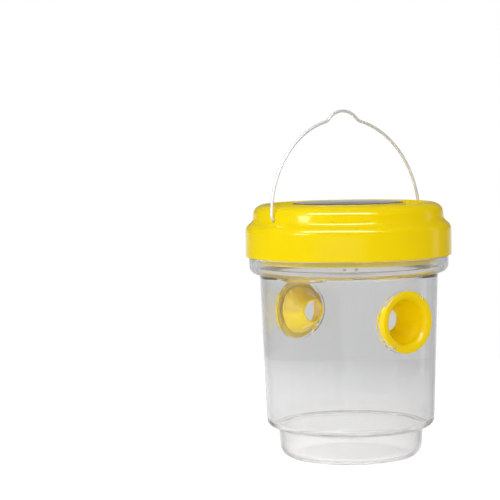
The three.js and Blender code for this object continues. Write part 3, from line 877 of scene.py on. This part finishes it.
def led_window(materials):
    low, high = FLOOR_TOP_Z + GAP, 134.1
    outline = [
        *arc(0, FLOOR_Z, WINDOW_R, 1.6, -90, 0, 14),
        (WINDOW_R, low), (WINDOW_R + 2.2, low), (WINDOW_R + 2.2, high), (0, high),
    ]
    made = moved(lathe("window", outline, 96), shift(y=LED_Y))
    finish_piece(made, "led_window", "lid", "clear_window", materials)


def slide_switch(materials):
    x = (SWITCH_X - 6, SWITCH_X + 6)
    y = (SWITCH_Y - 3, SWITCH_Y + 3)
    body = block(x, y, (FLOOR_TOP_Z + GAP, 138), 0.2)
    cut(body, block((SWITCH_X - 4.2, SWITCH_X + 4.2), (SWITCH_Y - 1.5, SWITCH_Y + 1.5), (FLOOR_TOP_Z, 135.6)))
    finish_piece(body, "switch_body", "lid", "dark_plastic", materials)
    low, width = SWITCH_X - 3.9, 3.8
    knob = block((low, low + width), (SWITCH_Y - 1.2, SWITCH_Y + 1.2), (129.2, 135.2), 0.25)
    for i in range(3):
        ridge = low + 0.9 + i
        cut(knob, block((ridge - 0.2, ridge + 0.2), (SWITCH_Y - 2, SWITCH_Y + 2), (129, 129.55)))
    finish_piece(knob, "switch_knob", "switch", "knob_plastic", materials)


def battery(materials):
    start, end = CELL_X
    button_r, button_end = 1.9, end + 1.1
    made = lathe("cell", soften([
        (0, start), (CELL_R, start, 0.6), (CELL_R, end, 0.6),
        (button_r, end, 0.2), (button_r, button_end, 0.3), (0, button_end),
    ], closed=False), SMALL_ROUND)
    moved(made, shift(0, CELL_Y, CELL_Z) @ turn(90, "Y"))
    finish_piece(made, "battery", "lid", "battery_sleeve", materials)


def battery_contacts(materials):
    plate_y, plate_z = (CELL_Y - 4.5, CELL_Y + 4.5), (134.6, 142)
    contact = block((26.9, 27.4), plate_y, plate_z, 0.1)
    join(contact, block((25.6, 27), (CELL_Y - 2, CELL_Y + 2), (CELL_Z - 2, CELL_Z + 2), 0.4))
    finish_piece(contact, "battery_contact", "lid", "contact_steel", materials)
    path = []
    turns, steps = 2.5, 60
    for i in range(steps + 1):
        along = i / steps
        angle = 2 * math.pi * turns * along
        radius = 3.4 - 1.2 * along
        y = CELL_Y + radius * math.cos(angle)
        z = CELL_Z + radius * math.sin(angle)
        path.append((-26.9 + 5.4 * along, y, z))
    spring = block((-27.4, -26.8), plate_y, plate_z, 0.1)
    join(spring, wire("coil", path, 0.35, 10))
    finish_piece(spring, "battery_spring", "lid", "contact_steel", materials)


def smooth_path(places, steps=8):
    """A Catmull-Rom curve through the places."""
    knots = [Vector(place) for place in places]
    knots = [knots[0] * 2 - knots[1], *knots, knots[-1] * 2 - knots[-2]]
    path = []
    for i in range(1, len(knots) - 2):
        a, b, c, d = knots[i - 1:i + 3]
        for step in range(steps):
            t = step / steps
            bend = (2 * a - 5 * b + 4 * c - d) * t * t + (3 * b - a - 3 * c + d) * t ** 3
            path.append((2 * b + (c - a) * t + bend) / 2)
    path.append(knots[-2])
    return path


def leads(materials):
    """Two leads from the solar panel and two from the cell's contacts, all down onto the board."""
    top = BOARD_TOP_Z + GAP + LEAD_R

    def from_panel(x):
        return [(x, LEAD_HOLE_Y, RECESS_Z - 0.1), (x, 7.8, 150), (x, 4, 147.6), (x, 0, top), (x, -3, top)]

    def from_cell(side):
        return [
            (27.15 * side, 20, 142.4), (26.8 * side, 17, 146), (22 * side, 6, 148.5),
            (11 * side, 1, 148), (8 * side, -4, top), (8 * side, -8, top),
        ]

    routes = {
        "panel_lead_red": ("red_insulation", from_panel(-0.9)),
        "panel_lead_black": ("black_insulation", from_panel(0.9)),
        "battery_lead_red": ("red_insulation", from_cell(1)),
        "battery_lead_black": ("black_insulation", from_cell(-1)),
    }
    for name, (slot, places) in routes.items():
        made = wire("lead", smooth_path(places), LEAD_R, 12)
        finish_piece(made, name, "lid", slot, materials)


# ------------------------------------------------------------ bail


def half_bail():
    """Half of the wire's centreline: the in-turned pin, the round arch, the kink and the hanging hump."""
    hump_z = BAIL_TOP - HUMP_R
    arch_reach, hump_reach = BAIL_R + KINK_R, HUMP_R + KINK_R
    kink_z = (arch_reach ** 2 - hump_reach ** 2 + hump_z ** 2) / (2 * hump_z)
    kink_x = math.sqrt(arch_reach ** 2 - kink_z ** 2)
    arch_end = math.degrees(math.atan2(kink_z, kink_x))
    hump_start = math.degrees(math.atan2(kink_z - hump_z, kink_x))
    bend = 2.2
    return [
        (PIN_IN + 0.6, 0), (PIN_IN + 1.8, 0),
        *arc(BAIL_R - bend, bend, bend, bend, -90, 0, 8),
        *arc(0, 0, BAIL_R, BAIL_R, 4, arch_end, 40),
        *arc(kink_x, kink_z, KINK_R, KINK_R, arch_end + 180, hump_start + 180, 8)[1:],
        *arc(0, hump_z, HUMP_R, HUMP_R, hump_start, 90, 14)[1:],
    ]


def bail(materials):
    half = half_bail()
    path = [(x, 0, z) for x, z in half]
    path += [(-x, 0, z) for x, z in reversed(half[:-1])]
    made = wire("bail", path, WIRE_R, 20)
    moved(made, shift(z=PIVOT_Z) @ turn(-BAIL_LEAN, "X"))
    finish_piece(made, "bail", "bail", "bail_wire", materials)


# ------------------------------------------------------------ scene


def build_object(materials):
    jar(materials)
    funnel("funnel_front", 0, materials)
    funnel("funnel_back", 180, materials)
    lid_shell(materials)
    gasket(materials)
    solar_cells(materials)
    panel_cover(materials)
    light_housing(materials)
    battery_door(materials)
    screws(materials)
    circuit_board(materials)
    led("uv_led_left", -LED_X, materials)
    led("uv_led_right", LED_X, materials)
    led_window(materials)
    slide_switch(materials)
    battery(materials)
    battery_contacts(materials)
    leads(materials)
    bail(materials)


def make_camera():
    """A long lens at the photograph's distance, height and side of the trap."""
    distance, height = 1090.494, 199.331
    pitch, roll, yaw = 0.066652, -0.017432, -0.054979
    lens_in_widths = 3.583036
    data = bpy.data.cameras.new("camera")
    data.sensor_width = 36
    data.lens = lens_in_widths * data.sensor_width
    data.clip_start, data.clip_end = 0.05, 20
    camera = bpy.data.objects.new("camera", data)
    bpy.context.collection.objects.link(camera)
    side = math.radians(CAMERA_AZIMUTH)
    place = Vector((distance * math.sin(side), -distance * math.cos(side), height)) * MM
    look = Matrix.Rotation(side - yaw, 4, "Z") @ Matrix.Rotation(math.pi / 2 - pitch, 4, "X")
    camera.matrix_world = Matrix.Translation(place) @ look @ Matrix.Rotation(roll, 4, "Z")
    bpy.context.scene.camera = camera
    return camera


def floor_material(name, glow, low, high):
    """A matt floor that glows; where the glow's two ends differ, the glow is a painted pool of light,
    brightest towards its back left as seen from the camera.
    """
    surface = Surface(name, Roughness=0.9, Specular_IOR_Level=0.0)
    surface.shader.inputs["Emission Color"].default_value = (1, 1, 1, 1)
    surface.colour(surface.ramp(surface.noise(3, 2), (low, low, low), (high, high, high)))
    # the painted pool of light: emission from the glow's second value at the pool's centre to its first a
    # floor radius away
    painted_pool = surface.nodes.new("ShaderNodeTexGradient")
    painted_pool.gradient_type = "SPHERICAL"
    reach = 1 / (FLOOR_R * MM)
    around = math.radians(CAMERA_AZIMUTH + PAINTED_POOL_ANGLE)
    offset = (-PAINTED_POOL_OFFSET * math.cos(around), -PAINTED_POOL_OFFSET * math.sin(around), 0)
    surface.links.new(surface.stretched(reach, reach, reach, offset), painted_pool.inputs["Vector"])
    strength = mapped(surface.nodes, surface.links, painted_pool.outputs["Fac"], *glow, 0)
    surface.links.new(strength, surface.shader.inputs["Emission Strength"])
    return surface.material


def make_floor():
    """A pale floor in two layers: an evenly glowing white one that the camera sees, and a greyer one that
    lights the trap, whose glow is a painted pool of light, brightest towards its back left.
    """
    seen = disc(FLOOR_R, -1.0, -0.2, 96)
    seen.name = "floor_seen"
    seen.data.materials.append(floor_material("floor_white", (0.90, 0.90), 0.20, 0.21))
    seen.visible_diffuse = False
    seen.visible_glossy = False
    seen.visible_transmission = False
    seen.visible_shadow = False
    lit = disc(FLOOR_R, -3.0, -1.2, 96)
    lit.name = "floor_lit"
    # the lit floor's glow is a painted pool of light, 0.12 at its rim rising to 0.85 at the pool's centre
    lit.data.materials.append(floor_material("floor_painted_pool", (0.12, 0.85), 0.50, 0.52))
    lit.visible_camera = False
    lit.visible_glossy = False


def make_world():
    """White to the camera, dim where it is reflected; to everything else a soft room, brighter above."""
    world = bpy.data.worlds.new("room")
    bpy.context.scene.world = world
    world.use_nodes = True
    nodes, links = world.node_tree.nodes, world.node_tree.links
    nodes.clear()
    place = nodes.new("ShaderNodeTexCoord").outputs["Generated"]
    split = nodes.new("ShaderNodeSeparateXYZ")
    links.new(place, split.inputs["Vector"])
    height = mapped(nodes, links, split.outputs["Z"], 0, 1, -1)

    def along(x, y):
        """How far a direction points along another, which is level and is counted from the camera's side."""
        dot = nodes.new("ShaderNodeVectorMath")
        dot.operation = "DOT_PRODUCT"
        around = math.radians(CAMERA_AZIMUTH)
        dot.inputs[1].default_value = (
            x * math.cos(around) - y * math.sin(around), x * math.sin(around) + y * math.cos(around), 0,
        )
        links.new(place, dot.inputs[0])
        return dot.outputs["Value"]

    def background(levels, strength):
        """A sky of (height, level) steps, from straight down at 0 to straight up at 1."""
        shades = nodes.new("ShaderNodeValToRGB")
        links.new(height, shades.inputs["Fac"])
        ramp = shades.color_ramp
        while len(ramp.elements) < len(levels):
            ramp.elements.new(0.5)
        for element, (position, level) in zip(ramp.elements, levels):
            element.position = position
            element.color = (level, level, level, 1)
        node = nodes.new("ShaderNodeBackground")
        links.new(shades.outputs["Color"], node.inputs["Color"])
        if strength:
            links.new(strength, node.inputs["Strength"])
        return node.outputs["Background"]

    def chosen(factor, otherwise, then):
        mix = nodes.new("ShaderNodeMixShader")
        links.new(factor, mix.inputs["Fac"])
        links.new(otherwise, mix.inputs[1])
        links.new(then, mix.inputs[2])
        return mix.outputs["Shader"]

    rays = nodes.new("ShaderNodeLightPath")
    reflected = nodes.new("ShaderNodeMath")
    reflected.operation = "SUBTRACT"
    reflected.use_clamp = True
    links.new(rays.outputs["Is Glossy Ray"], reflected.inputs[0])
    links.new(rays.outputs["Is Transmission Ray"], reflected.inputs[1])
    room = background(ROOM_LEVELS, mapped(nodes, links, along(1, 0), 1.20, 0.88, -1))
    mirrored = background(MIRRORED_LEVELS, mapped(nodes, links, along(0, 1), 0.18, 1.3, 0.75))
    lit = chosen(reflected.outputs["Value"], room, mirrored)
    white = background(((0, 1), (1, 1)), None)
    output = nodes.new("ShaderNodeOutputWorld")
    links.new(chosen(rays.outputs["Is Camera Ray"], lit, white), output.inputs["Surface"])


def soft_light(name, azimuth, elevation, distance, size, power, tint=(1, 1, 1), glint=False):
    """An area light that faces the trap: a glint shows only as a reflection, the others only light surfaces.

    The azimuth is counted from the camera's side, positive to its right.
    """
    data = bpy.data.lights.new(name, "AREA")
    data.shape = "RECTANGLE"
    data.size, data.size_y = size[0] * MM, size[1] * MM
    data.energy = power
    data.color = tint
    light = bpy.data.objects.new(name, data)
    bpy.context.collection.objects.link(light)
    around = math.radians(CAMERA_AZIMUTH + azimuth)
    up = math.radians(elevation)
    back = Vector((math.sin(around) * math.cos(up), -math.cos(around) * math.cos(up), math.sin(up)))
    light.location = (back * distance + Vector((0, 0, LIGHT_TARGET_Z))) * MM
    light.rotation_mode = "QUATERNION"
    light.rotation_quaternion = (-back).to_track_quat("-Z", "Y")
    light.visible_camera = False
    light.visible_transmission = False
    light.visible_glossy = glint
    light.visible_diffuse = not glint


def make_lights():
    soft_light("fill_left", -50, 30, 900, (800, 600), 1.38, (0.95, 1.0, 0.95))
    soft_light("fill_front", -8, -5, 900, (900, 120), 2.3, (1.0, 0.96, 0.92))
    soft_light("fill_right", 80, 2, 900, (300, 400), 0.55, (1.0, 0.45, 0.35))
    soft_light("glint_front", -11, 49, 700, (900, 100), 15, glint=True)
    soft_light("glint_left", -52, 13, 700, (170, 160), 1.7, glint=True)
    soft_light("glint_right", 109, 5, 700, (150, 500), 0.2, glint=True)


def main():
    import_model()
    make_camera()
    make_world()
    make_lights()
    make_floor()
    build_object(make_materials())
    bpy.context.scene.view_settings.view_transform = "Standard"


main()
